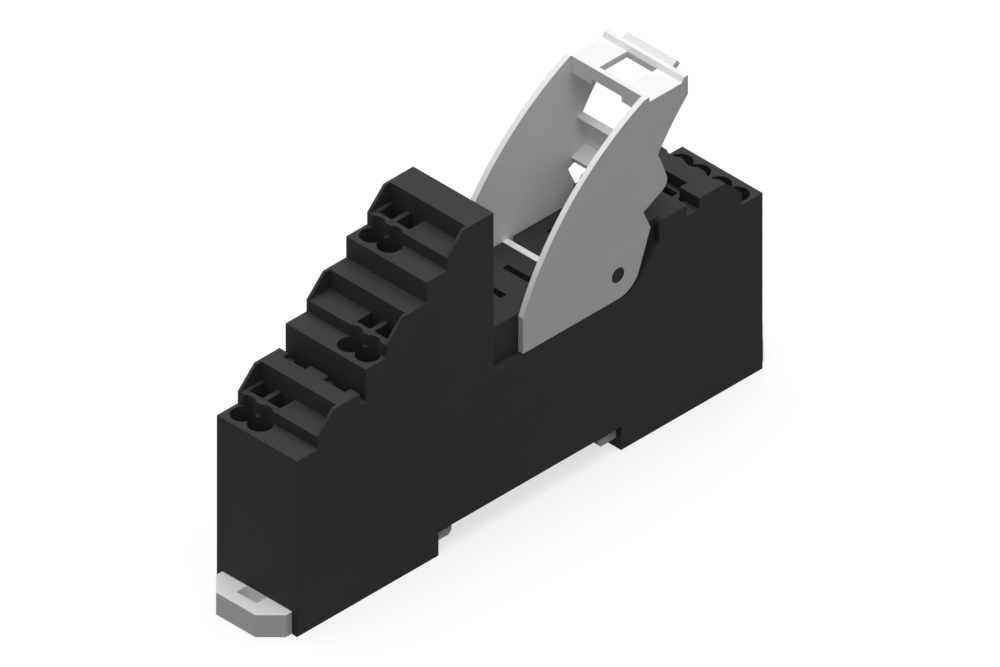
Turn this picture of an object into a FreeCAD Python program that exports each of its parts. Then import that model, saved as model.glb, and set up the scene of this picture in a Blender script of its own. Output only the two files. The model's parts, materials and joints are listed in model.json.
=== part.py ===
import FreeCAD, Part
import math
import os

# A relay socket for a 35 mm mounting rail, in millimetres.
# While a piece is shaped, X runs along the socket from its left end, Y across it from its middle
# and Z up from the soles of its feet. Every piece is moved to the part's frame when it is written.

# Terminal tiers: lengths along the socket, and heights of their steps
TIER_1_LENGTH = 13.78
TIER_2_LENGTH = 12.15
TIER_3_LENGTH = 13.44
STEP_HEIGHT = 30.5
TIER_RISE = 9.05

# Terminal hoods: a step with the wire holes, a lip, then a sloping hood that is open between its cheeks
STEP_DEPTH = 4.2
LIP_RISE = 2.1
HOOD_HEIGHT = 5.4
HOOD_BACK = 8.4
CHEEK = 0.5
WIRE_RADIUS = 1.9
WIRE_SETBACK = 2.8
WIRE_PITCH = 3.5
COLUMN_FROM_SIDE = 4.17
THROAT = 7.0
RELEASE_START = 5.4
RELEASE_WIDTH = 2.7

# Housing walls
BODY_WIDTH = 16.1
WALL = 1.0
PARTITION = 0.8
CHAMBER_LENGTH = 10.4
CORING_ROOF = 3.4

# Relay deck, with its blade slots and the gap that the ejector bar lies in
DECK_HEIGHT = 33.0
DECK_THICKNESS = 1.4
CONTACT_SLOT_START = 1.56
CONTACT_PITCH = 5.4
SLOT_THICKNESS = 1.15
CONTACT_SLOT_WIDTH = 5.1
COIL_SLOT_BEFORE_PIVOT = 1.4
COIL_SLOT_OFFSET = 3.2
COIL_SLOT_WIDTH = 2.6
BAR_GAP_LEFT = 8.21
BAR_GAP_RIGHT = 6.91
BAR_GAP_DEPTH = 3.3
DECK_CORNER = 0.95

# Bracket pivot, the recesses that its side plates swing in, and the shelf behind them
PIVOT_FROM_TIERS = 25.03
PIVOT_HEIGHT = 30.6
PIVOT_RADIUS = 1.2
RECESS_DEPTH = 1.1
RECESS_FLOOR = 4.3
RECESS_BACK = 4.8
RECESS_SLOPE = 46.5
RECESS_END = 8.2
RECESS_ROUND = 4.6
RECESS_BROW = 1.1
SHELF_FROM_PIVOT = 6.1

# Bridge groove of the first tier
GROOVE_LENGTH = 1.2
GROOVE_DEPTH = 1.9
NOTCH_LENGTH = 1.15
NOTCH_WIDTH = 4.4
NOTCH_OFFSET = 4.0
NOTCH_DEPTH = 4.8

# Label groove of the right block, with its slotted strap
RIGHT_BLOCK = 20.7
LABEL_GROOVE_START = 5.6
LABEL_GROOVE_LENGTH = 2.4
STRAP_LENGTH = 1.5
STRAP_WIDTH = 9.6
STRAP_THICKNESS = 0.8
STRAP_EYE_START = -0.12
STRAP_EYE_LENGTH = 1.3
STRAP_EYE_WIDTH = 10.1
LABEL_PIT_DEPTH = 2.6
LABEL_NOTCH_LENGTH = 1.5
LABEL_NOTCH_WIDTH = 8.3

# Rail notch, feet and the base cover that closes the housing from below
RAIL_GAP = 36.6
FOOT_HEIGHT = 4.05
COVER_THICKNESS = 1.2
SEAT_CLEARANCE = 0.05
FOOT_WEB_LENGTH = 2.0
FOOT_WEB_HEIGHT = 1.5
RIDGE = 0.4

# Rail latches and their springs
LATCH_HANDLE = 4.25
LATCH_CHAMFER = 3.05
LATCH_BLOCK_END = 4.0
LATCH_LIFT = 0.1
LATCH_TOP_GAP = 0.15
LATCH_HOOK = 3.65
LATCH_HOOK_THICKNESS = 1.3
LATCH_HOOK_LEAD = 0.6
BLADE_POCKET_LENGTH = 2.1
BLADE_POCKET_WIDTH = 4.0
BLADE_POCKET_DEPTH = 2.8
SPRING_POCKET_START = 10.0
SPRING_POCKET_LENGTH = 14.0
SPRING_POCKET_WIDTH = 5.4
SPRING_POCKET_FLOOR = 0.4
POST_GAP = 0.2
POST_LENGTH = 1.8
LATCH_SPRING_FOLDS = 6
LATCH_SPRING_THICKNESS = 0.4
LATCH_SPRING_BEND = 0.7

# Ejector bracket, measured from its pivot
PLATE_THICKNESS = 0.95
PLATE_INSET = 0.05
PIVOT_CLEARANCE = 0.05
PLATE_FRONT = 19.05
PLATE_BOTTOM = 4.15
PLATE_FRONT_TOP = 2.0
PLATE_ARC_RADIUS = 48.66
PLATE_ARC_CENTRE_X = 26.01
PLATE_ARC_CENTRE_Z = -16.3
PLATE_BACK_EDGE = 4.36
PLATE_BACK_LEAN = 20.1
PLATE_HEEL_ROUND = 4.4
BRACKET_TOP = 27.75
WINDOW_TOP = 26.97
WINDOW_PLATE = 1.05
FRONT_BAR_FRONT = 5.69
FRONT_BAR_THICKNESS = 0.6
FRONT_BAR_DEPTH = 2.95
FRONT_BAR_NOTCH_WIDTH = 6.0
FRONT_BAR_NOTCH = 0.9
BRACKET_BACK = 14.0
REAR_RIB_FOOT = 1.2
REAR_RIB_CREST = 0.74
WINDOW_START = 7.3
WINDOW_LENGTH = 5.5
WINDOW_WIDTH = 6.05
TAB_WIDTH = 10.0
TAB_THICKNESS = 1.0
TAB_LENGTH = 1.4
TAB_TILT = 37.0
TAB_ROOT_BACK = 0.55
TAB_ROOT_DEPTH = 0.8
CROSS_WALL = 1.2
EJECTOR_BAR_FRONT = 8.11
EJECTOR_BAR_TOP = 2.35
EJECTOR_BAR_HEIGHT = 2.9

# Metal strip inside: current bars, pin receptacles and clamp springs
BAR_THICKNESS = 0.8
STRIP_HEIGHT = 3.0
TIER_1_STRIP = 6.0
TIER_2_STRIP = 12.0
COIL_STRIP = 6.0
RISER_WIDTH = 2.3
BAR_HEADROOM = 0.6
RECEPTACLE_HEIGHT = 8.0
RECEPTACLE_SHEET = 0.35
RECEPTACLE_BEND = 0.6
RECEPTACLE_MOUTH = 2.1
RECEPTACLE_THROAT = 1.2
RECEPTACLE_BELLY = 2.15
CLAMP_SHEET = 0.35
CLAMP_WIDTH = 2.6
CLAMP_LEG = 8.4
CLAMP_LOOP = 2.7
CLAMP_BEND = 1.1
CLAMP_REACH = 7.4
CLAMP_TIP_GAP = 0.1

# Places worked out from the sizes above
TIER_2_START = TIER_1_LENGTH
TIER_3_START = TIER_2_START + TIER_2_LENGTH
BAY_START = TIER_3_START + TIER_3_LENGTH
PIVOT_X = BAY_START + PIVOT_FROM_TIERS
BAY_END = PIVOT_X + RECESS_END
BODY_LENGTH = BAY_END + RIGHT_BLOCK
HALF_WIDTH = BODY_WIDTH / 2
INNER_HALF = HALF_WIDTH - WALL
COLUMN_OFFSET = HALF_WIDTH - COLUMN_FROM_SIDE
RECESS_HALF = HALF_WIDTH - RECESS_DEPTH
BLOCK_TOP = STEP_HEIGHT + HOOD_HEIGHT
SHELF_X = PIVOT_X + SHELF_FROM_PIVOT
FOOT_LENGTH = (BODY_LENGTH - RAIL_GAP) / 2
COVER_TOP = FOOT_HEIGHT + COVER_THICKNESS
DECK_UNDERSIDE = DECK_HEIGHT - DECK_THICKNESS
TOTAL_HEIGHT = STEP_HEIGHT + 2 * TIER_RISE + HOOD_HEIGHT
RECEPTACLE_TOP = DECK_UNDERSIDE - 2 * SEAT_CLEARANCE
RECEPTACLE_FOOT = RECEPTACLE_TOP - RECEPTACLE_HEIGHT
TIER_3_STRIP = RECEPTACLE_FOOT - STRIP_HEIGHT

# Two corners of an outline that are closer than this are one
SAME_SPOT = 1e-6

# Each terminal column: name, start of its tier, height of its step, side of the middle, and whether
# it belongs to the right end, which is shaped as a first tier and turned round
TERMINALS = (
    ("tier_1", 0.0, STEP_HEIGHT, 1, False),
    ("tier_2", TIER_2_START, STEP_HEIGHT + TIER_RISE, -1, False),
    ("tier_3", TIER_3_START, STEP_HEIGHT + 2 * TIER_RISE, 1, False),
    ("coil_near", 0.0, STEP_HEIGHT, -1, True),
    ("coil_far", 0.0, STEP_HEIGHT, 1, True),
)


def box(x0, x1, y0, y1, z0, z1):
    """A block between two corners."""
    return Part.makeBox(x1 - x0, y1 - y0, z1 - z0, FreeCAD.Vector(x0, y0, z0))


def side_wire(legs, y):
    """A closed outline in a side view. A leg is a corner (x, z), or a pair of them: a point that
    an arc passes through, and the arc's end."""
    def at(spot):
        return FreeCAD.Vector(spot[0], y, spot[1])

    edges = []
    here = legs[-1] if not isinstance(legs[-1][0], tuple) else legs[-1][1]
    for leg in legs:
        if isinstance(leg[0], tuple):
            through, end = leg
            edges.append(Part.Arc(at(here), at(through), at(end)).toShape())
        else:
            end = leg
            if math.dist(here, end) > SAME_SPOT:
                edges.append(Part.LineSegment(at(here), at(end)).toShape())
        here = end
    return Part.Wire(edges)


def slab(legs, y0, y1):
    """A piece with the given side view, from y0 to y1."""
    return Part.Face(side_wire(legs, y0)).extrude(FreeCAD.Vector(0, y1 - y0, 0))


def turned_end(shape):
    """The same piece at the other end of the socket."""
    return shape.mirror(FreeCAD.Vector(BODY_LENGTH / 2, 0, 0), FreeCAD.Vector(1, 0, 0))


def other_side(shape):
    """The same piece on the other side of the socket's middle."""
    return shape.mirror(FreeCAD.Vector(0, 0, 0), FreeCAD.Vector(0, 1, 0))


def both_sides(shape):
    return [shape, other_side(shape)]


def bend(corner, before, after, radius):
    """The two ends and the middle of a round corner on a path."""
    to_before = (before - corner).normalize()
    to_after = (after - corner).normalize()
    half_angle = to_before.getAngle(to_after) / 2
    start = corner + to_before * (radius / math.tan(half_angle))
    end = corner + to_after * (radius / math.tan(half_angle))
    inward = (to_before + to_after).normalize()
    middle = corner + inward * (radius / math.sin(half_angle) - radius)
    return start, middle, end


def ribbon(points, sheet, radius, width):
    """Sheet metal bent along a path in plan, and upright over its width. The path is one face of
    the sheet, which lies to its right."""
    spots = [FreeCAD.Vector(x, y, 0) for x, y in points]
    edges = []
    here = spots[0]
    for before, corner, after in zip(spots, spots[1:], spots[2:]):
        start, middle, end = bend(corner, before, after, radius)
        edges.append(Part.LineSegment(here, start).toShape())
        edges.append(Part.Arc(start, middle, end).toShape())
        here = end
    edges.append(Part.LineSegment(here, spots[-1]).toShape())
    face = Part.Wire(edges).makeOffset2D(sheet, 0, True, True)
    return face.extrude(FreeCAD.Vector(0, 0, width))


def side_ribbon(points, sheet, radius, width, middle):
    """A ribbon whose path is drawn in a side view, centred on a place across the socket."""
    piece = ribbon(points, sheet, radius, width)
    piece.rotate(FreeCAD.Vector(0, 0, 0), FreeCAD.Vector(1, 0, 0), 90)
    piece.translate(FreeCAD.Vector(0, middle + width / 2, 0))
    return piece


def span(side, near, far):
    """Two distances from the middle, on one side of it, in rising order."""
    return sorted((side * near, side * far))


def tier_top(start, step):
    """Side view of one tier: its step, lip and slope, up to its top."""
    lip = start + STEP_DEPTH
    slope_end = lip + HOOD_HEIGHT - LIP_RISE
    return [
        (start, step),
        (lip, step),
        (lip, step + LIP_RISE),
        (slope_end, step + HOOD_HEIGHT),
    ]


def housing_outline():
    """Side view of the housing with the deck, the rail notch and no recesses."""
    end = BODY_LENGTH
    left = tier_top(0.0, STEP_HEIGHT)
    left += [(TIER_2_START, BLOCK_TOP)]
    left += tier_top(TIER_2_START, STEP_HEIGHT + TIER_RISE)
    left += [(TIER_3_START, BLOCK_TOP + TIER_RISE)]
    left += tier_top(TIER_3_START, STEP_HEIGHT + 2 * TIER_RISE)
    left += [(BAY_START, TOTAL_HEIGHT)]
    bay = [(BAY_START, DECK_HEIGHT), (SHELF_X, DECK_HEIGHT), (SHELF_X, BLOCK_TOP)]
    right = [(end - x, z) for x, z in reversed(tier_top(0.0, STEP_HEIGHT))]
    feet = [
        (end, 0.0),
        (end - FOOT_LENGTH, 0.0),
        (end - FOOT_LENGTH, FOOT_HEIGHT),
        (FOOT_LENGTH, FOOT_HEIGHT),
        (FOOT_LENGTH, 0.0),
        (0.0, 0.0),
    ]
    return left + bay + right + feet


def hood_cuts(start, step):
    """The open slope of a hood between its cheeks."""
    floor = step + LIP_RISE
    inner = HALF_WIDTH - CHEEK
    return box(start + STEP_DEPTH, start + HOOD_BACK, -inner, inner, floor, step + HOOD_HEIGHT)


def wire_places(side):
    """Places across the socket of one column's two wire entries."""
    return [side * COLUMN_OFFSET - WIRE_PITCH / 2, side * COLUMN_OFFSET + WIRE_PITCH / 2]


def terminal_cuts(start, step, side):
    """One column of wire entries and release slots, and the chamber below them."""
    floor = step + LIP_RISE
    roof = step - THROAT
    cuts = []
    for y in wire_places(side):
        foot = FreeCAD.Vector(start + WIRE_SETBACK, y, roof)
        cuts.append(Part.makeCylinder(WIRE_RADIUS, floor - roof, foot))
        half = RELEASE_WIDTH / 2
        cuts.append(box(start + RELEASE_START, start + HOOD_BACK, y - half, y + half, roof, floor))
    y0, y1 = span(side, PARTITION / 2, INNER_HALF)
    cuts.append(box(start + WALL, start + WALL + CHAMBER_LENGTH, y0, y1, COVER_TOP, roof))
    return cuts


def coring_cut(start, step, side):
    """The hollow under a step that has no terminals on this side."""
    y0, y1 = span(side, PARTITION / 2, INNER_HALF)
    return box(start + WALL, start + WALL + CHAMBER_LENGTH, y0, y1, COVER_TOP, step - CORING_ROOF)


def recess_cut():
    """The recess that a side plate of the bracket swings in, on one side of the socket. Its end
    wall is rounded over at the top."""
    floor = PIVOT_HEIGHT - RECESS_FLOOR
    lean = math.radians(RECESS_SLOPE)
    # The sloping wall keeps its distance from the pivot, and meets the recess floor at the heel
    foot_x = PIVOT_X + RECESS_BACK * math.sin(lean)
    foot_z = PIVOT_HEIGHT - RECESS_BACK * math.cos(lean)
    heel = FreeCAD.Vector(foot_x - (foot_z - floor) / math.tan(lean), floor, 0)
    end_x = PIVOT_X + RECESS_END
    end_z = foot_z + (end_x - foot_x) * math.tan(lean)
    before = FreeCAD.Vector(BAY_START, floor, 0)
    after = FreeCAD.Vector(end_x, end_z, 0)
    start, middle, end = bend(heel, before, after, RECESS_ROUND)
    brow_x = end_x + RECESS_BROW
    brow_z = BLOCK_TOP - RECESS_BROW
    slant = RECESS_BROW * math.sqrt(0.5)
    legs = [
        (BAY_START, TOTAL_HEIGHT),
        (BAY_START, floor),
        (start.x, start.y),
        ((middle.x, middle.y), (end.x, end.y)),
        (end_x, end_z),
        (end_x, brow_z),
        ((brow_x - slant, brow_z + slant), (brow_x, BLOCK_TOP)),
        (brow_x, TOTAL_HEIGHT),
    ]
    return slab(legs, RECESS_HALF, HALF_WIDTH)


def contact_slot_places():
    """Middles of the three contact blades' slots along the socket."""
    first = BAY_START + CONTACT_SLOT_START + SLOT_THICKNESS / 2
    return [first + turn * CONTACT_PITCH for turn in range(3)]


def blade_slot(x, y, width):
    """One blade's slot, through the deck."""
    half = SLOT_THICKNESS / 2
    return box(x - half, x + half, y - width / 2, y + width / 2, DECK_UNDERSIDE, DECK_HEIGHT)


def deck_cuts():
    """Blade slots, the ejector bar's gap and the cut corners beside it."""
    cuts = [blade_slot(x, 0.0, CONTACT_SLOT_WIDTH) for x in contact_slot_places()]
    for y in (-COIL_SLOT_OFFSET, COIL_SLOT_OFFSET):
        cuts.append(blade_slot(PIVOT_X - COIL_SLOT_BEFORE_PIVOT, y, COIL_SLOT_WIDTH))
    left = PIVOT_X - BAR_GAP_LEFT
    right = PIVOT_X - BAR_GAP_RIGHT
    floor = DECK_HEIGHT - BAR_GAP_DEPTH
    cuts.append(box(left, right, -RECESS_HALF, RECESS_HALF, floor, DECK_HEIGHT))
    corner = [
        FreeCAD.Vector(right, RECESS_HALF, floor),
        FreeCAD.Vector(right, RECESS_HALF - DECK_CORNER, floor),
        FreeCAD.Vector(right + DECK_CORNER, RECESS_HALF, floor),
    ]
    wedge = Part.Face(Part.makePolygon(corner + corner[:1]))
    cuts += both_sides(wedge.extrude(FreeCAD.Vector(0, 0, BAR_GAP_DEPTH)))
    return cuts


def bay_hollows():
    """Hollows under the deck and the shelf. They leave a trough round the ejector bar's gap."""
    half = RECESS_HALF - WALL
    gap_left = PIVOT_X - BAR_GAP_LEFT
    gap_right = PIVOT_X - BAR_GAP_RIGHT
    trough = DECK_HEIGHT - BAR_GAP_DEPTH - WALL
    shelf_end = BODY_LENGTH - 2 * WALL - CHAMBER_LENGTH
    left = BAY_START + WALL
    shelf_roof = BLOCK_TOP - CORING_ROOF
    return [
        box(left, SHELF_X - WALL, -half, half, COVER_TOP, trough),
        box(left, gap_left - WALL, -half, half, trough, DECK_UNDERSIDE),
        box(gap_right + WALL, SHELF_X - WALL, -half, half, trough, DECK_UNDERSIDE),
        box(SHELF_X, shelf_end, -half, half, COVER_TOP, shelf_roof),
    ]


def strip_slit(x0, x1, middle, top):
    """A slit through the inner walls, open from below, that a current bar is pressed up into."""
    half = BAR_THICKNESS / 2 + SEAT_CLEARANCE
    return box(x0, x1, middle - half, middle + half, COVER_TOP, top + SEAT_CLEARANCE)


def strip_middle(side):
    """Place across the socket of a contact bar's strip, beside the partition."""
    return side * (PARTITION / 2 + SEAT_CLEARANCE + BAR_THICKNESS / 2)


def strip_slits():
    contact_ends = contact_slot_places()
    wall_end = BAY_START + WALL
    chamber_back = WALL + CHAMBER_LENGTH
    tier_2_back = TIER_2_START + chamber_back
    tier_3_back = TIER_3_START + chamber_back
    slits = [
        strip_slit(chamber_back, wall_end, strip_middle(1), TIER_1_STRIP + STRIP_HEIGHT),
        strip_slit(tier_2_back, wall_end, strip_middle(-1), TIER_2_STRIP + STRIP_HEIGHT),
        strip_slit(tier_3_back, contact_ends[0], strip_middle(1), TIER_3_STRIP + STRIP_HEIGHT),
    ]
    coil_x = PIVOT_X - COIL_SLOT_BEFORE_PIVOT
    right_wall = BODY_LENGTH - chamber_back
    for side in (-1, 1):
        top = COIL_STRIP + STRIP_HEIGHT
        slits.append(strip_slit(coil_x, right_wall, side * COIL_SLOT_OFFSET, top))
    return slits


def bridge_groove_cuts():
    """The groove behind the first hood, with its two notches for a plug-in bridge."""
    start = TIER_2_START - GROOVE_LENGTH
    floor = BLOCK_TOP - GROOVE_DEPTH
    cuts = [box(start, TIER_2_START, -HALF_WIDTH, HALF_WIDTH, floor, BLOCK_TOP)]
    half = NOTCH_WIDTH / 2
    for y in (-NOTCH_OFFSET, NOTCH_OFFSET):
        deep = BLOCK_TOP - NOTCH_DEPTH
        cuts.append(box(start - NOTCH_LENGTH, TIER_2_START, y - half, y + half, deep, BLOCK_TOP))
    return cuts


def label_groove_cuts():
    """The groove across the right block, its pit under the strap, and the notch in the hood."""
    start = BAY_END + LABEL_GROOVE_START
    end = start + LABEL_GROOVE_LENGTH
    floor = BLOCK_TOP - GROOVE_DEPTH
    half = LABEL_NOTCH_WIDTH / 2
    pit_half = STRAP_EYE_WIDTH / 2
    pit = BLOCK_TOP - LABEL_PIT_DEPTH
    return [
        box(start, end, -pit_half, pit_half, pit, BLOCK_TOP),
        box(start, end, -HALF_WIDTH, HALF_WIDTH, floor, BLOCK_TOP),
        box(end, end + LABEL_NOTCH_LENGTH, -half, half, floor, BLOCK_TOP),
    ]


def label_strap():
    """The strap that reaches over the label groove, wider at its root, and the eye through it."""
    start = BAY_END + LABEL_GROOVE_START
    floor = BLOCK_TOP - STRAP_THICKNESS
    half = STRAP_WIDTH / 2
    corners = [
        FreeCAD.Vector(start, half + STRAP_LENGTH, floor),
        FreeCAD.Vector(start + STRAP_LENGTH, half, floor),
        FreeCAD.Vector(start + STRAP_LENGTH, -half, floor),
        FreeCAD.Vector(start, -half - STRAP_LENGTH, floor),
    ]
    strap = Part.Face(Part.makePolygon(corners + corners[:1]))
    eye_half = STRAP_EYE_WIDTH / 2
    eye_start = start + STRAP_EYE_START
    eye = box(eye_start, eye_start + STRAP_EYE_LENGTH, -eye_half, eye_half, floor, BLOCK_TOP)
    return strap.extrude(FreeCAD.Vector(0, 0, STRAP_THICKNESS)), eye


def foot_cuts():
    """The left foot's latch channel, open at the end and below, with its inner cross web left."""
    web = FOOT_LENGTH - FOOT_WEB_LENGTH
    return [
        box(0.0, FOOT_LENGTH, -INNER_HALF, INNER_HALF, FOOT_WEB_HEIGHT, FOOT_HEIGHT),
        box(0.0, web, -INNER_HALF, INNER_HALF, 0.0, FOOT_WEB_HEIGHT),
    ]


def latch_ridge():
    """The snap ridge along a foot's side wall, which the latch rests on."""
    start = LATCH_BLOCK_END + LATCH_TOP_GAP * 2
    end = FOOT_LENGTH - FOOT_WEB_LENGTH
    bottom = FOOT_WEB_HEIGHT - RIDGE
    return box(start, end, INNER_HALF - RIDGE, INNER_HALF, bottom, FOOT_WEB_HEIGHT)


def pivot_boss():
    """The round boss that a side plate of the bracket turns on."""
    length = RECESS_DEPTH - PLATE_INSET
    foot = FreeCAD.Vector(PIVOT_X, RECESS_HALF, PIVOT_HEIGHT)
    return Part.makeCylinder(PIVOT_RADIUS, length, foot, FreeCAD.Vector(0, 1, 0))


def housing():
    """The black moulded housing."""
    body = slab(housing_outline(), -HALF_WIDTH, HALF_WIDTH)
    cuts = []
    for start, step in (
        (0.0, STEP_HEIGHT),
        (TIER_2_START, STEP_HEIGHT + TIER_RISE),
        (TIER_3_START, STEP_HEIGHT + 2 * TIER_RISE),
    ):
        cuts.append(hood_cuts(start, step))
    cuts.append(turned_end(hood_cuts(0.0, STEP_HEIGHT)))
    for _, start, step, side, at_right in TERMINALS:
        tools = terminal_cuts(start, step, side)
        if at_right:
            tools = [turned_end(tool) for tool in tools]
        else:
            tools.append(coring_cut(start, step, -side))
        cuts += tools
    cuts += both_sides(recess_cut())
    cuts += deck_cuts() + bay_hollows() + strip_slits()
    cuts += bridge_groove_cuts() + label_groove_cuts()
    for tool in foot_cuts():
        cuts += [tool, turned_end(tool)]
    opening_end = BODY_LENGTH - WALL
    cuts.append(box(WALL, opening_end, -INNER_HALF, INNER_HALF, FOOT_HEIGHT, COVER_TOP))
    body = body.cut(cuts)
    strap, eye = label_strap()
    additions = [strap] + both_sides(pivot_boss())
    for ridge in both_sides(latch_ridge()):
        additions += [ridge, turned_end(ridge)]
    return body.fuse(additions).cut(eye).removeSplitter()


def base_cover():
    """The plate that closes the housing from below, with the posts of the latch springs."""
    half = INNER_HALF - SEAT_CLEARANCE
    start = WALL + SEAT_CLEARANCE
    end = BODY_LENGTH - start
    plate = box(start, end, -half, half, FOOT_HEIGHT, COVER_TOP)
    post_start = SPRING_POCKET_START + POST_GAP
    post_half = SPRING_POCKET_WIDTH / 2 - 2 * LATCH_LIFT
    post_foot = FOOT_WEB_HEIGHT + SPRING_POCKET_FLOOR + 2 * LATCH_LIFT
    post = box(post_start, post_start + POST_LENGTH, -post_half, post_half, post_foot, FOOT_HEIGHT)
    return plate.fuse([post, turned_end(post)]).removeSplitter()


def rail_latch():
    """The left rail latch: handle with its blade pocket, sliding plate and rail hook."""
    bottom = FOOT_WEB_HEIGHT + LATCH_LIFT
    top = FOOT_HEIGHT - LATCH_TOP_GAP
    half = INNER_HALF - SEAT_CLEARANCE
    tip = FOOT_LENGTH + LATCH_HOOK
    hook_top = bottom + LATCH_HOOK_THICKNESS
    legs = [
        (-LATCH_HANDLE, LATCH_LIFT),
        (-LATCH_HANDLE, top),
        (FOOT_LENGTH, top),
        (FOOT_LENGTH, hook_top),
        (tip, hook_top),
        (tip, bottom + LATCH_HOOK_LEAD),
        (tip - LATCH_HOOK_LEAD, bottom),
        (LATCH_BLOCK_END, bottom),
        (LATCH_BLOCK_END, LATCH_LIFT),
    ]
    body = slab(legs, -half, half)
    corner = [
        FreeCAD.Vector(-LATCH_HANDLE, half, LATCH_LIFT),
        FreeCAD.Vector(-LATCH_HANDLE + LATCH_CHAMFER, half, LATCH_LIFT),
        FreeCAD.Vector(-LATCH_HANDLE, half - LATCH_CHAMFER, LATCH_LIFT),
    ]
    wedge = Part.Face(Part.makePolygon(corner + corner[:1]))
    cuts = both_sides(wedge.extrude(FreeCAD.Vector(0, 0, top)))
    blade = BLADE_POCKET_WIDTH / 2
    cuts.append(box(-BLADE_POCKET_LENGTH, 0.0, -blade, blade, top - BLADE_POCKET_DEPTH, top))
    start = SPRING_POCKET_START
    pocket = SPRING_POCKET_WIDTH / 2
    floor = bottom + SPRING_POCKET_FLOOR
    cuts.append(box(start, start + SPRING_POCKET_LENGTH, -pocket, pocket, floor, top))
    return body.cut(cuts)


def latch_spring():
    """The folded strip spring between a cover post and the end of the latch's pocket."""
    start = SPRING_POCKET_START + POST_GAP + POST_LENGTH
    end = SPRING_POCKET_START + SPRING_POCKET_LENGTH
    half = SPRING_POCKET_WIDTH / 2 - 2 * LATCH_LIFT
    bottom = FOOT_WEB_HEIGHT + SPRING_POCKET_FLOOR + 2 * LATCH_LIFT
    height = FOOT_HEIGHT - LATCH_LIFT - bottom
    first = start
    last = end - LATCH_SPRING_THICKNESS
    pitch = (last - first) / LATCH_SPRING_FOLDS
    sides = (LATCH_SPRING_THICKNESS - half, half)
    points = [(first, sides[0])]
    for fold in range(LATCH_SPRING_FOLDS):
        side = sides[(fold + 1) % 2]
        points.append((first + fold * pitch, side))
        points.append((first + (fold + 1) * pitch, side))
    points.append((last, sides[(LATCH_SPRING_FOLDS + 1) % 2]))
    spring = ribbon(points, LATCH_SPRING_THICKNESS, LATCH_SPRING_BEND, height)
    spring.translate(FreeCAD.Vector(0, 0, bottom))
    return spring


def from_pivot(legs):
    """An outline that is measured from the bracket's pivot, moved to its place."""
    def moved(spot):
        return (PIVOT_X + spot[0], PIVOT_HEIGHT + spot[1])

    return [tuple(map(moved, leg)) if isinstance(leg[0], tuple) else moved(leg) for leg in legs]


def arc_x(z):
    """The curved front edge of the bracket's side plates, at a height from the pivot."""
    rise = z - PLATE_ARC_CENTRE_Z
    return PLATE_ARC_CENTRE_X - math.sqrt(PLATE_ARC_RADIUS ** 2 - rise ** 2)


# The bracket's hollow back and the bump under it, from the top down, measured from the pivot
BACK_LOW = (14.0, 24.45)
BACK_MIDDLE = (11.13, 21.27)
BUMP_START = (8.0, 16.9)
BUMP_UPPER = (9.0, 14.6)
BUMP_SIDE = (9.7, 12.5)
BUMP_NOSE = (9.8, 11.6)
BUMP_UNDER = (8.9, 10.3)
BUMP_END = (5.06, 8.38)
CROSS_WALL_END = (6.26, 8.98)
NECK = (6.5, 5.1)

# The ejector bar's back, which leans so that it clears the deck as it swings up, from the pivot
BAR_BACK = ((-6.99, 2.35), (-7.23, 1.5), (-7.41, 0.5), (-7.41, -0.55))


def plate_outline():
    """Side view of the bracket's side plates."""
    lean = math.radians(PLATE_BACK_LEAN)
    foot_x = PLATE_BACK_EDGE * math.cos(lean)
    foot_z = -PLATE_BACK_EDGE * math.sin(lean)
    # The heel is where the plate's lower edge and its leaning back edge would meet
    heel = FreeCAD.Vector(foot_x - (foot_z + PLATE_BOTTOM) * math.tan(lean), -PLATE_BOTTOM, 0)
    neck = FreeCAD.Vector(foot_x + (NECK[1] - foot_z) * math.tan(lean), NECK[1], 0)
    front = FreeCAD.Vector(-PLATE_FRONT, -PLATE_BOTTOM, 0)
    heel_start, heel_middle, heel_end = bend(heel, front, neck, PLATE_HEEL_ROUND)
    middle_z = (PLATE_FRONT_TOP + BRACKET_TOP) / 2
    top_x = arc_x(BRACKET_TOP)
    rib_foot = BRACKET_BACK - REAR_RIB_FOOT
    rib_crest = BRACKET_BACK - REAR_RIB_CREST
    bar_back = FRONT_BAR_FRONT + FRONT_BAR_THICKNESS
    return [
        (arc_x(PLATE_FRONT_TOP), -PLATE_BOTTOM),
        (arc_x(PLATE_FRONT_TOP), PLATE_FRONT_TOP),
        ((arc_x(middle_z), middle_z), (top_x, BRACKET_TOP)),
        (bar_back, BRACKET_TOP),
        (bar_back, WINDOW_TOP),
        (rib_foot, WINDOW_TOP),
        (rib_crest, BRACKET_TOP),
        (BRACKET_BACK, BRACKET_TOP),
        BACK_LOW,
        (BACK_MIDDLE, BUMP_START),
        BUMP_UPPER,
        BUMP_SIDE,
        (BUMP_NOSE, BUMP_UNDER),
        BUMP_END,
        (neck.x, neck.y),
        (heel_end.x, heel_end.y),
        ((heel_middle.x, heel_middle.y), (heel_start.x, heel_start.y)),
    ]


def cross_wall_outline():
    """Side view of the curved wall between the side plates, which follows the bump."""
    def inward(spot, along_x, along_z):
        size = math.hypot(along_x, along_z)
        return (spot[0] - CROSS_WALL * along_z / size, spot[1] + CROSS_WALL * along_x / size)

    upper = inward(BUMP_START, BUMP_START[0] - BUMP_UPPER[0], BUMP_START[1] - BUMP_UPPER[1])
    side = inward(BUMP_SIDE, BUMP_UPPER[0] - BUMP_SIDE[0], BUMP_UPPER[1] - BUMP_SIDE[1])
    under_x = BUMP_UNDER[0] - BUMP_END[0]
    under_z = BUMP_UNDER[1] - BUMP_END[1]
    under = inward(BUMP_UNDER, under_x, under_z)
    end = inward(CROSS_WALL_END, under_x, under_z)
    return [
        BUMP_START,
        BUMP_UPPER,
        BUMP_SIDE,
        (BUMP_NOSE, BUMP_UNDER),
        CROSS_WALL_END,
        end,
        under,
        side,
        upper,
    ]


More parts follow.
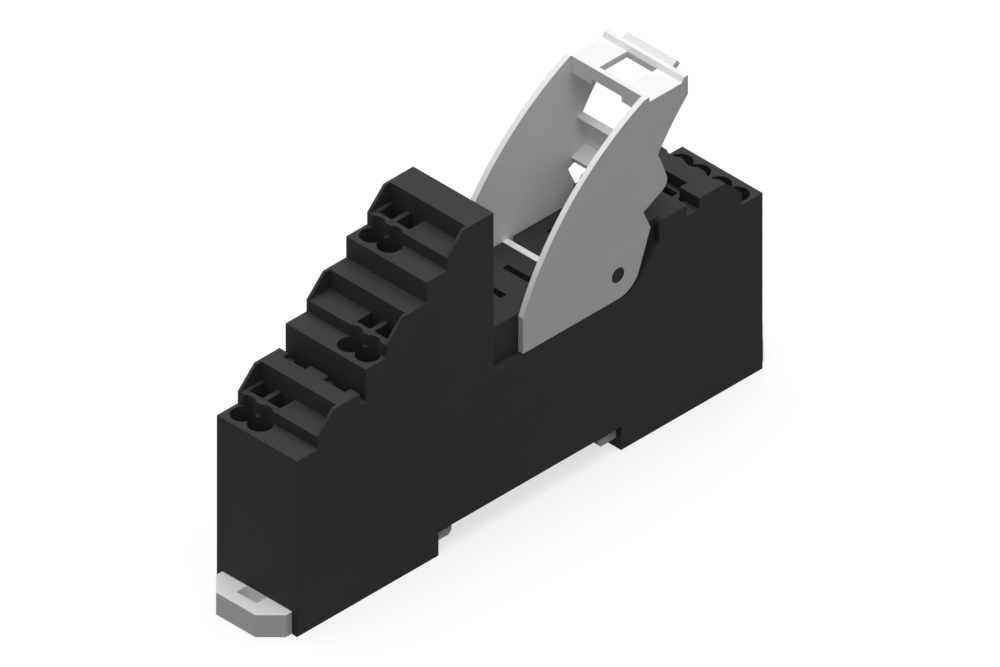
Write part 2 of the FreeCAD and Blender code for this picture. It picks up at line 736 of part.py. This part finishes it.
def thumb_tab_outline():
    """Side view of the thumb tab, which tilts up from the back of the bracket's top."""
    tilt = math.radians(TAB_TILT)
    along = (math.cos(tilt), math.sin(tilt))
    root = (BRACKET_BACK - TAB_ROOT_BACK, WINDOW_TOP - TAB_ROOT_DEPTH)
    top = (root[0] - TAB_THICKNESS * along[1], root[1] + TAB_THICKNESS * along[0])
    reach = (TAB_LENGTH + TAB_ROOT_BACK) / along[0]
    return [
        root,
        (root[0] + reach * along[0], root[1] + reach * along[1]),
        (top[0] + reach * along[0], top[1] + reach * along[1]),
        top,
    ]


def ejector_bracket():
    """The light grey bracket: side plates, window frame, cross wall, thumb tab and ejector bar."""
    outer = HALF_WIDTH - PLATE_INSET
    inner = outer - PLATE_THICKNESS
    plate = slab(from_pivot(plate_outline()), inner, outer)
    bore = FreeCAD.Vector(PIVOT_X, inner, PIVOT_HEIGHT)
    bore_radius = PIVOT_RADIUS + PIVOT_CLEARANCE
    plate = plate.cut(Part.makeCylinder(bore_radius, PLATE_THICKNESS, bore, FreeCAD.Vector(0, 1, 0)))

    front_low = BRACKET_TOP - FRONT_BAR_DEPTH
    bar_back = FRONT_BAR_FRONT + FRONT_BAR_THICKNESS
    frame_legs = [
        (FRONT_BAR_FRONT, front_low),
        (FRONT_BAR_FRONT, BRACKET_TOP),
        (bar_back, BRACKET_TOP),
        (bar_back, WINDOW_TOP),
        (BRACKET_BACK - REAR_RIB_FOOT, WINDOW_TOP),
        (BRACKET_BACK - REAR_RIB_CREST, BRACKET_TOP),
        (BRACKET_BACK, BRACKET_TOP),
        (BRACKET_BACK, WINDOW_TOP - WINDOW_PLATE),
        (bar_back, WINDOW_TOP - WINDOW_PLATE),
        (bar_back, front_low),
    ]
    frame = slab(from_pivot(frame_legs), -inner, inner)
    window_x = PIVOT_X + WINDOW_START
    window_half = WINDOW_WIDTH / 2
    frame_low = PIVOT_HEIGHT + front_low
    frame_top = PIVOT_HEIGHT + WINDOW_TOP
    notch_half = FRONT_BAR_NOTCH_WIDTH / 2
    notch_top = frame_low + FRONT_BAR_NOTCH
    notch_end = PIVOT_X + bar_back
    frame = frame.cut([
        box(window_x, window_x + WINDOW_LENGTH, -window_half, window_half, frame_low, frame_top),
        box(PIVOT_X, notch_end, -notch_half, notch_half, frame_low, notch_top),
    ])

    cross_wall = slab(from_pivot(cross_wall_outline()), -inner, inner)
    tab = slab(from_pivot(thumb_tab_outline()), -TAB_WIDTH / 2, TAB_WIDTH / 2)
    front = -EJECTOR_BAR_FRONT
    bar_foot = EJECTOR_BAR_TOP - EJECTOR_BAR_HEIGHT
    bar_legs = [(front, bar_foot), (front, EJECTOR_BAR_TOP), *BAR_BACK]
    bar = slab(from_pivot(bar_legs), -inner, inner)
    pieces = [other_side(plate), frame, cross_wall, tab, bar]
    return plate.fuse(pieces).removeSplitter()


def current_bar(start, step, side, strip_low, strip_end, middle):
    """One circuit's bar: clamping plate in the terminal chamber, strip, and riser to a receptacle."""
    front = start + WALL
    roof = step - THROAT
    y0, y1 = span(side, PARTITION / 2 + SEAT_CLEARANCE, INNER_HALF - SEAT_CLEARANCE)
    plate = box(front, front + BAR_THICKNESS, y0, y1, strip_low, roof - BAR_HEADROOM)
    strip_top = strip_low + STRIP_HEIGHT
    half = BAR_THICKNESS / 2
    strip_far = strip_end + RISER_WIDTH / 2
    strip = box(front, strip_far, middle - half, middle + half, strip_low, strip_top)
    riser_near = strip_end - RISER_WIDTH / 2
    riser = box(riser_near, strip_far, middle - half, middle + half, strip_low, RECEPTACLE_FOOT)
    return plate.fuse([strip, riser]).removeSplitter()


def pin_receptacle(x, y, slot_width):
    """A forked contact that grips one blade of the relay, standing on its bar's riser."""
    mouth = RECEPTACLE_MOUTH / 2
    throat = RECEPTACLE_THROAT / 2
    belly = RECEPTACLE_BELLY / 2
    pinch = RECEPTACLE_TOP - RECEPTACLE_HEIGHT / 4
    swell = RECEPTACLE_TOP - RECEPTACLE_HEIGHT * 5 / 8
    half_fork = [(mouth, RECEPTACLE_TOP), (throat, pinch), (belly, swell), (belly, RECEPTACLE_FOOT)]
    points = [(x + across, z) for across, z in half_fork]
    points += [(x - across, z) for across, z in reversed(half_fork)]
    width = slot_width - 2 * BAR_HEADROOM
    return side_ribbon(points, RECEPTACLE_SHEET, RECEPTACLE_BEND, width, y)


def clamp_spring(start, step, y):
    """The bent spring that presses one wire against the bar: back leg, loop and clamping leg."""
    roof = step - THROAT
    back = start + WALL + CHAMBER_LENGTH
    loop_top = roof - BAR_HEADROOM
    tip = start + WALL + BAR_THICKNESS + CLAMP_TIP_GAP
    points = [
        (tip, roof - CLAMP_REACH),
        (back - CLAMP_LOOP, loop_top),
        (back, loop_top),
        (back, loop_top - CLAMP_LEG),
    ]
    return side_ribbon(points, CLAMP_SHEET, CLAMP_BEND, CLAMP_WIDTH, y)


def pieces():
    """Every piece of the socket, by name."""
    made = {
        "housing": housing(),
        "base_cover": base_cover(),
        "ejector_bracket": ejector_bracket(),
        "rail_latch_left": rail_latch(),
        "rail_latch_right": turned_end(rail_latch()),
        "latch_spring_left": latch_spring(),
        "latch_spring_right": turned_end(latch_spring()),
    }
    coil_x = PIVOT_X - COIL_SLOT_BEFORE_PIVOT
    contact_x = contact_slot_places()
    # For each circuit: height of its bar's strip, the blade that it serves, and where that lies
    circuits = {
        "tier_1": (TIER_1_STRIP, contact_x[2], 0.0, CONTACT_SLOT_WIDTH),
        "tier_2": (TIER_2_STRIP, contact_x[1], 0.0, CONTACT_SLOT_WIDTH),
        "tier_3": (TIER_3_STRIP, contact_x[0], 0.0, CONTACT_SLOT_WIDTH),
        "coil_near": (COIL_STRIP, coil_x, -COIL_SLOT_OFFSET, COIL_SLOT_WIDTH),
        "coil_far": (COIL_STRIP, coil_x, COIL_SLOT_OFFSET, COIL_SLOT_WIDTH),
    }
    for name, start, step, side, at_right in TERMINALS:
        strip_low, blade_x, blade_y, slot_width = circuits[name]
        middle = blade_y if at_right else strip_middle(side)
        strip_end = BODY_LENGTH - blade_x if at_right else blade_x
        bar = current_bar(start, step, side, strip_low, strip_end, middle)
        springs = [clamp_spring(start, step, y) for y in wire_places(side)]
        if at_right:
            bar = turned_end(bar)
            springs = [turned_end(spring) for spring in springs]
        made["current_bar_" + name] = bar
        made["pin_receptacle_" + name] = pin_receptacle(blade_x, blade_y, slot_width)
        for place, spring in zip(("a", "b"), springs):
            made["clamp_spring_" + name + "_" + place] = spring
    return made


def write(name, shape):
    """One piece as a STEP file, in the part's frame: X = 0 at the middle of the housing."""
    shape.translate(FreeCAD.Vector(-BODY_LENGTH / 2, 0, 0))
    if not shape.isValid() or len(shape.Solids) != 1:
        print("not one valid solid:", name, shape.isValid(), len(shape.Solids))
    shape.Solids[0].exportStep(os.path.join("parts", name + ".step"))


os.makedirs("parts", exist_ok=True)
for piece_name, piece_shape in pieces().items():
    write(piece_name, piece_shape)
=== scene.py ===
import json
import math

import bpy
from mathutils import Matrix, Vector

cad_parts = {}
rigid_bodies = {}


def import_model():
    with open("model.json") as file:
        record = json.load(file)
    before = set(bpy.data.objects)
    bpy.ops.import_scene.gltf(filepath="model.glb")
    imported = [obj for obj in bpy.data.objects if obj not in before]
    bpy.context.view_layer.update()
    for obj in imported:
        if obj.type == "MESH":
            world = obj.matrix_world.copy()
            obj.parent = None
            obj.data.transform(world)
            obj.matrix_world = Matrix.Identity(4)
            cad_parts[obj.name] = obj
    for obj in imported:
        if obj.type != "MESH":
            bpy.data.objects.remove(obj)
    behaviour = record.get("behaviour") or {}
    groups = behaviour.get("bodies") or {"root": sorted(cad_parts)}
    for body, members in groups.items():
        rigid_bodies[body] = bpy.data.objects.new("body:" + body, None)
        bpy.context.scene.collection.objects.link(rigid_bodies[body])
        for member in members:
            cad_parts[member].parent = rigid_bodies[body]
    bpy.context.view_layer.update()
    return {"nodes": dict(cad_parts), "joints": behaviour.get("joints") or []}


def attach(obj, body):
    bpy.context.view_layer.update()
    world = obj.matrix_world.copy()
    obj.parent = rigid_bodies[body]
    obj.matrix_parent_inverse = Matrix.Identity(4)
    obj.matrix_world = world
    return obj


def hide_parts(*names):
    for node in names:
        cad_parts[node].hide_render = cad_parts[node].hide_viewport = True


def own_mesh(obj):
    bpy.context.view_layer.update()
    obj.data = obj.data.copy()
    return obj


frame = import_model()

MM = 0.001

# Camera: the photograph is a parallel view from a corner, at equal angles to the three axes
VIEW_AZIMUTH = math.radians(-45.0)
VIEW_ELEVATION = math.asin(1 / math.sqrt(3))
VIEW_WIDTH = 141.745 * MM
VIEW_CENTRE = Vector((2.093, 0.022, 24.315)) * MM
CAMERA_DISTANCE = 0.6
CAMERA_NEAREST = 0.01
CAMERA_FURTHEST = 10.0

# Light: an even sky, a broad lamp straight above, and a floor that throws no light at the sides
SKY_LEVEL = 0.228
LAMP_STRENGTH = 2.64
LAMP_SPREAD = math.radians(70.0)
FLOOR_SIZE = 4.0
FLOOR_SHOWN = 0.34
FLOOR_GLOW = 0.70
FLOOR_BOUNCE = 0.0

# Linear colours of the finishes
WHITE = (1.0, 1.0, 1.0)
HOUSING_BLACK = (0.0373, 0.0373, 0.0378)
HOUSING_DUST = (0.05, 0.05, 0.05)
LIGHT_GREY = (0.86, 0.86, 0.865)
LIGHT_GREY_WARM = (0.83, 0.825, 0.81)
COPPER_ALLOY = (0.75, 0.50, 0.27)
COPPER_TARNISH = (0.42, 0.24, 0.13)
SPRING_STEEL = (0.56, 0.57, 0.58)
SPRING_STRAW = (0.48, 0.45, 0.38)

# Moulded plastic: clouds left by the flow, spark-eroded pores over a coarser grain, and soft edges
FLOW_PER_METRE = 55.0
FLOW_RANGE = (0.35, 0.75)
FLOW_TINT = 0.35
PORES_PER_METRE = 2600.0
PORE_SHARE = 0.7
PORE_DULLING = 0.10
GRAIN_PER_METRE = 900.0
GRAIN_SHARE = 0.3
MOULDED_EDGE = 0.14 * MM
MOULDED_EDGE_POLISH = 0.05

# Rolled strip: how often its lines change per metre along X, Y and Z, its stains and sheared edges
ROLLED_ALONG_X = (300.0, 9000.0, 9000.0)
ROLLED_ALONG_Y = (9000.0, 300.0, 9000.0)
LINE_DEPTH = 0.0006 * MM
LINE_DULLING = 0.10
STAINS_PER_METRE = 160.0
STAIN_RANGE = (0.45, 0.75)
STAIN_TINT = 0.5
STAIN_DULLING = 0.06
SHEARED_EDGE = 0.08 * MM

# All finishes: the middle of a noise, and how edges are found
NOISE_MIDDLE = 0.5
EDGE_SAMPLES = 6
EDGE_SHARPNESS = 3.0

# Places of the colour sockets of a Mix node
MIX_FIRST = 6
MIX_SECOND = 7
MIX_RESULT = 2


class Term:
    """A socket of a node tree that takes part in Python arithmetic."""

    def __init__(self, finish, socket):
        self.finish = finish
        self.socket = socket

    def joined(self, operation, left, right):
        settings = {"operation": operation}
        return self.finish.node("ShaderNodeMath", settings, {0: left, 1: right}).out()

    def __add__(self, other):
        return self.joined("ADD", self, other)

    def __radd__(self, other):
        return self.joined("ADD", other, self)

    def __sub__(self, other):
        return self.joined("SUBTRACT", self, other)

    def __rsub__(self, other):
        return self.joined("SUBTRACT", other, self)

    def __mul__(self, other):
        return self.joined("MULTIPLY", self, other)

    def __rmul__(self, other):
        return self.joined("MULTIPLY", other, self)

    def between(self, low, high):
        """This value from 0 at low to 1 at high, held within 0 and 1."""
        values = {"Value": self, "From Min": low, "From Max": high}
        return self.finish.node("ShaderNodeMapRange", {"clamp": True}, values).out()


class Made:
    """A node that was added. Its outputs are taken by name or place."""

    def __init__(self, finish, node):
        self.finish = finish
        self.node = node

    def out(self, name=0):
        return Term(self.finish, self.node.outputs[name])


class Finish:
    """The nodes of a material or of the sky, and the short calls that build them."""

    def __init__(self, owner):
        self.owner = owner
        owner.use_nodes = True
        self.tree = owner.node_tree
        self.tree.nodes.clear()

    def node(self, kind, settings=None, values=None):
        """Adds a node, sets its settings first, and then fills or links its sockets."""
        added = self.tree.nodes.new(kind)
        for key, value in (settings or {}).items():
            setattr(added, key, value)
        for key, value in (values or {}).items():
            self.fill(added.inputs[key], value)
        return Made(self, added)

    def fill(self, socket, value):
        """Links a socket to a term, or sets its own value. A colour is given without its alpha."""
        if isinstance(value, Term):
            self.tree.links.new(value.socket, socket)
        elif socket.type == "RGBA":
            socket.default_value = (*value, 1.0)
        else:
            socket.default_value = value

    def place(self):
        """Where a point lies on the object, in metres."""
        return self.node("ShaderNodeTexCoord").out("Object")

    def stretched(self, vector, scale):
        """A place scaled by its own number along each axis."""
        values = {0: vector, 1: scale}
        return self.node("ShaderNodeVectorMath", {"operation": "MULTIPLY"}, values).out()

    def noise(self, vector, scale, detail=2.0, roughness=0.5):
        values = {"Vector": vector, "Scale": scale, "Detail": detail, "Roughness": roughness}
        return self.node("ShaderNodeTexNoise", {"noise_dimensions": "3D"}, values).out()

    def mix(self, factor, first, second):
        """A colour between two others."""
        values = {0: factor, MIX_FIRST: first, MIX_SECOND: second}
        return self.node("ShaderNodeMix", {"data_type": "RGBA"}, values).out(MIX_RESULT)

    def soft_edge(self, radius):
        """The surface's direction, with its edges rounded over a small radius."""
        return self.node("ShaderNodeBevel", {"samples": EDGE_SAMPLES}, {"Radius": radius}).out()

    def edge_mask(self, rounded):
        """Near 1 along the piece's edges, and 0 on its flats."""
        flat = self.node("ShaderNodeNewGeometry").out("Normal")
        values = {0: rounded, 1: flat}
        both = self.node("ShaderNodeVectorMath", {"operation": "DOT_PRODUCT"}, values).out("Value")
        return ((1.0 - both) * EDGE_SHARPNESS).between(0.0, 1.0)

    def bump(self, height, distance, normal):
        values = {"Height": height, "Distance": distance, "Normal": normal, "Strength": 1.0}
        return self.node("ShaderNodeBump", {}, values).out()

    def surface(self, values):
        """The shader itself, joined to the material's output."""
        shader = self.node("ShaderNodeBsdfPrincipled", {}, values).out()
        self.node("ShaderNodeOutputMaterial", {}, {"Surface": shader})
        return self.owner


def neutral(level):
    """A colour with no tint."""
    return (level, level, level)


def moulded(name, colour, tint, roughness, specular, grain_depth, worn):
    """A moulded plastic: spark-eroded grain, faint flow clouds and slightly worn edges."""
    finish = Finish(bpy.data.materials.new(name))
    place = finish.place()
    clouds = finish.noise(place, FLOW_PER_METRE, detail=3.0).between(*FLOW_RANGE)
    pores = finish.noise(place, PORES_PER_METRE, detail=2.0, roughness=0.6)
    grain = finish.noise(place, GRAIN_PER_METRE, detail=1.0)
    rounded = finish.soft_edge(MOULDED_EDGE)
    edges = finish.edge_mask(rounded)
    shade = (clouds * FLOW_TINT + edges * worn).between(0.0, 1.0)
    height = pores * PORE_SHARE + grain * GRAIN_SHARE
    dulling = (pores - NOISE_MIDDLE) * PORE_DULLING
    return finish.surface({
        "Base Color": finish.mix(shade, colour, tint),
        "Roughness": roughness + dulling - edges * MOULDED_EDGE_POLISH,
        "Specular IOR Level": specular,
        "Normal": finish.bump(height, grain_depth, rounded),
    })


def rolled_metal(name, colour, stain, roughness, rolled):
    """Stamped strip: rolling lines along one axis, a faint stain and bright sheared edges."""
    finish = Finish(bpy.data.materials.new(name))
    place = finish.place()
    lines = finish.noise(finish.stretched(place, rolled), 1.0, detail=3.0, roughness=0.6)
    stains = finish.noise(place, STAINS_PER_METRE, detail=4.0, roughness=0.6).between(*STAIN_RANGE)
    rounded = finish.soft_edge(SHEARED_EDGE)
    edges = finish.edge_mask(rounded)
    shade = stains * STAIN_TINT * (1.0 - edges)
    dulling = (lines - NOISE_MIDDLE) * LINE_DULLING
    return finish.surface({
        "Base Color": finish.mix(shade, colour, stain),
        "Metallic": 1.0,
        "Roughness": roughness + dulling + stains * STAIN_DULLING,
        "Normal": finish.bump(lines, LINE_DEPTH, rounded),
    })


def dress(material, *names):
    """Gives CAD nodes their finish."""
    for name in names:
        for holder in frame["nodes"][name].material_slots:
            holder.material = material


def dress_mouldings():
    """The housing, its cover, the bracket and the rail latches."""
    black = moulded("housing black", HOUSING_BLACK, HOUSING_DUST, roughness=0.62, specular=0.108,
                    grain_depth=0.010 * MM, worn=0.35)
    cover_black = moulded("cover black", HOUSING_BLACK, HOUSING_DUST, roughness=0.55, specular=0.25,
                          grain_depth=0.006 * MM, worn=0.25)
    grey = moulded("light grey", LIGHT_GREY, LIGHT_GREY_WARM, roughness=0.52, specular=0.35,
                   grain_depth=0.006 * MM, worn=0.0)
    dress(black, "housing")
    dress(cover_black, "base_cover")
    dress(grey, "ejector_bracket", "rail_latch_left", "rail_latch_right")


def dress_strips():
    """The current bars and pin receptacles of copper alloy, and the springs of steel."""
    copper = rolled_metal("copper alloy", COPPER_ALLOY, COPPER_TARNISH, 0.34, ROLLED_ALONG_X)
    steel = rolled_metal("spring steel", SPRING_STEEL, SPRING_STRAW, 0.36, ROLLED_ALONG_Y)
    for name in frame["nodes"]:
        if name.startswith(("current_bar", "pin_receptacle")):
            dress(copper, name)
        if "spring" in name:
            dress(steel, name)


def placed(name, data):
    """A new object of the scene, which shows the data given."""
    holder = bpy.data.objects.new(name, data)
    bpy.context.scene.collection.objects.link(holder)
    return holder


def closing_strips():
    """The latches' strip springs. Each stands for its CAD node, which can't change its length and is
    hidden; the strip is a copy of it with a mesh of its own, held by the joint's parent body."""
    for joint in frame["joints"]:
        for spring in joint.get("deforming_nodes", []):
            node = frame["nodes"][spring["node"]]
            strip = placed(spring["node"] + "_strip", node.data.copy())
            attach(strip, joint["parent"])
            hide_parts(spring["node"])
            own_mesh(strip)


def seen_directly(finish):
    """1 for rays of the camera, of reflections and of clear parts, and 0 for light that bounces."""
    rays = finish.node("ShaderNodeLightPath")
    shown = rays.out("Is Camera Ray") + rays.out("Is Glossy Ray") + rays.out("Is Transmission Ray")
    return shown.between(0.0, 1.0)


def floor_white():
    """White with a soft shadow where the floor is seen, and dull where light would bounce off it."""
    finish = Finish(bpy.data.materials.new("floor white"))
    seen = seen_directly(finish)
    shown = finish.node("ShaderNodeBsdfDiffuse", {}, {"Color": neutral(FLOOR_SHOWN)}).out()
    glow = finish.node("ShaderNodeEmission", {}, {"Color": WHITE, "Strength": FLOOR_GLOW}).out()
    white = finish.node("ShaderNodeAddShader", {}, {0: shown, 1: glow}).out()
    dull = finish.node("ShaderNodeBsdfDiffuse", {}, {"Color": neutral(FLOOR_BOUNCE)}).out()
    both = finish.node("ShaderNodeMixShader", {}, {0: seen, 1: dull, 2: white}).out()
    finish.node("ShaderNodeOutputMaterial", {}, {"Surface": both})
    return finish.owner


def white_floor():
    """A pale floor that looks white, keeps a soft shadow and throws no light at the object."""
    half = FLOOR_SIZE / 2
    corners = [(-half, -half, 0), (half, -half, 0), (half, half, 0), (-half, half, 0)]
    mesh = bpy.data.meshes.new("floor")
    mesh.from_pydata(corners, [], [(0, 1, 2, 3)])
    mesh.materials.append(floor_white())
    floor = placed("floor", mesh)


def sky():
    """An even sky: white where it is seen or mirrored, and dimmer as a light."""
    world = bpy.data.worlds.new("sky")
    bpy.context.scene.world = world
    finish = Finish(world)
    level = SKY_LEVEL + seen_directly(finish) * (1.0 - SKY_LEVEL)
    even = finish.node("ShaderNodeBackground", {}, {"Color": WHITE, "Strength": level}).out()
    finish.node("ShaderNodeOutputWorld", {}, {"Surface": even})


def overhead_lamp():
    """A broad distant lamp straight above."""
    lamp = bpy.data.lights.new("overhead", "SUN")
    lamp.energy = LAMP_STRENGTH
    lamp.angle = LAMP_SPREAD
    placed("overhead", lamp)


def towards_viewer():
    """The direction from the socket to the photograph's camera."""
    flat = math.cos(VIEW_ELEVATION)
    return Vector((
        math.sin(VIEW_AZIMUTH) * flat,
        -math.cos(VIEW_AZIMUTH) * flat,
        math.sin(VIEW_ELEVATION),
    ))


def camera():
    """The photograph's parallel view."""
    lens = bpy.data.cameras.new("camera")
    lens.type = "ORTHO"
    lens.ortho_scale = VIEW_WIDTH
    lens.clip_start = CAMERA_NEAREST
    lens.clip_end = CAMERA_FURTHEST
    back = towards_viewer()
    holder = placed("camera", lens)
    holder.location = VIEW_CENTRE + back * CAMERA_DISTANCE
    holder.rotation_mode = "QUATERNION"
    holder.rotation_quaternion = (-back).to_track_quat("-Z", "Y")
    bpy.context.scene.camera = holder


dress_mouldings()
dress_strips()
closing_strips()
white_floor()
sky()
overhead_lamp()
camera()
bpy.context.scene.view_settings.view_transform = "Standard"
